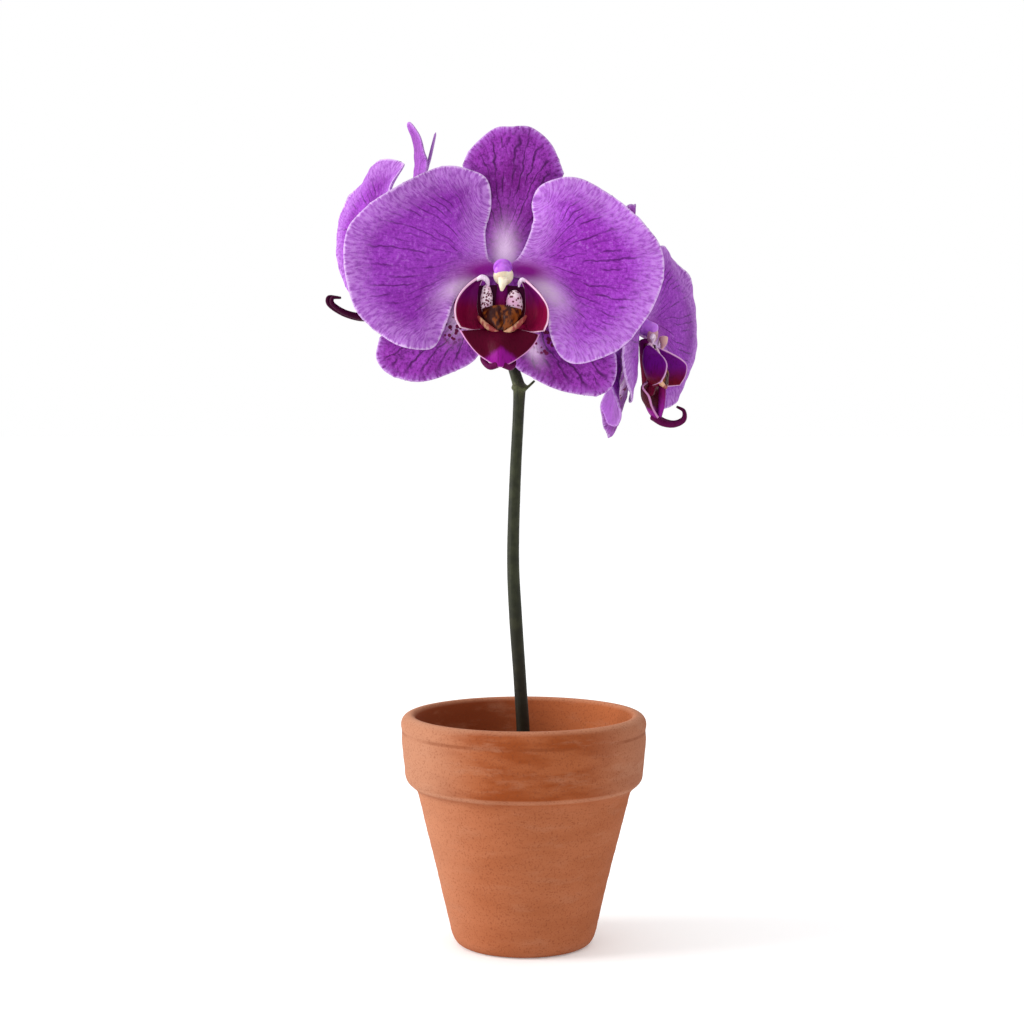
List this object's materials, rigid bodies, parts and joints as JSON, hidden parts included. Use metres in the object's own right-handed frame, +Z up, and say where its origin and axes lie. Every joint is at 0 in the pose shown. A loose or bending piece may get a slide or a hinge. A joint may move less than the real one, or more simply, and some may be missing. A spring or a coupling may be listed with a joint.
{
  "type": "potted moth orchid flower stem",
  "caption": "Bare upright flower stem of a violet moth orchid with open blooms facing front and to both sides, standing in a plain banded clay pot.",
  "frame": {"origin": "centre of the pot's underside, on the surface that it stands on", "axes": "+Z up along the pot's axis, +X to the right of someone who faces the front bloom, which looks along -Y"},
  "size_m": [0.13, 0.125, 0.27],
  "materials": {
    "terracotta": "matte",
    "bark_mix": "matte",
    "stem_green": "satin",
    "petal_violet": "satin",
    "sepal_violet": "satin",
    "lip_maroon": "satin",
    "column_lilac": "satin",
    "cap_cream": "satin"
  },
  "bodies": {
    "root": {"pot": "terracotta", "potting_mix": "bark_mix", "flower_stem": "stem_green", "front_petal_left": "petal_violet", "front_petal_right": "petal_violet", "front_dorsal_sepal": "sepal_violet", "front_lateral_sepal_left": "sepal_violet", "front_lateral_sepal_right": "sepal_violet", "front_lip": "lip_maroon", "front_column": "column_lilac", "front_anther_cap": "cap_cream", "left_petal_left": "petal_violet", "left_petal_right": "petal_violet", "left_dorsal_sepal": "sepal_violet", "left_lateral_sepal_left": "sepal_violet", "left_lateral_sepal_right": "sepal_violet", "left_lip": "lip_maroon", "left_column": "column_lilac", "left_anther_cap": "cap_cream", "right_petal_left": "petal_violet", "right_petal_right": "petal_violet", "right_dorsal_sepal": "sepal_violet", "right_lateral_sepal_left": "sepal_violet", "right_lateral_sepal_right": "sepal_violet", "right_lip": "lip_maroon", "right_column": "column_lilac", "right_anther_cap": "cap_cream"}
  },
  "joints": []
}
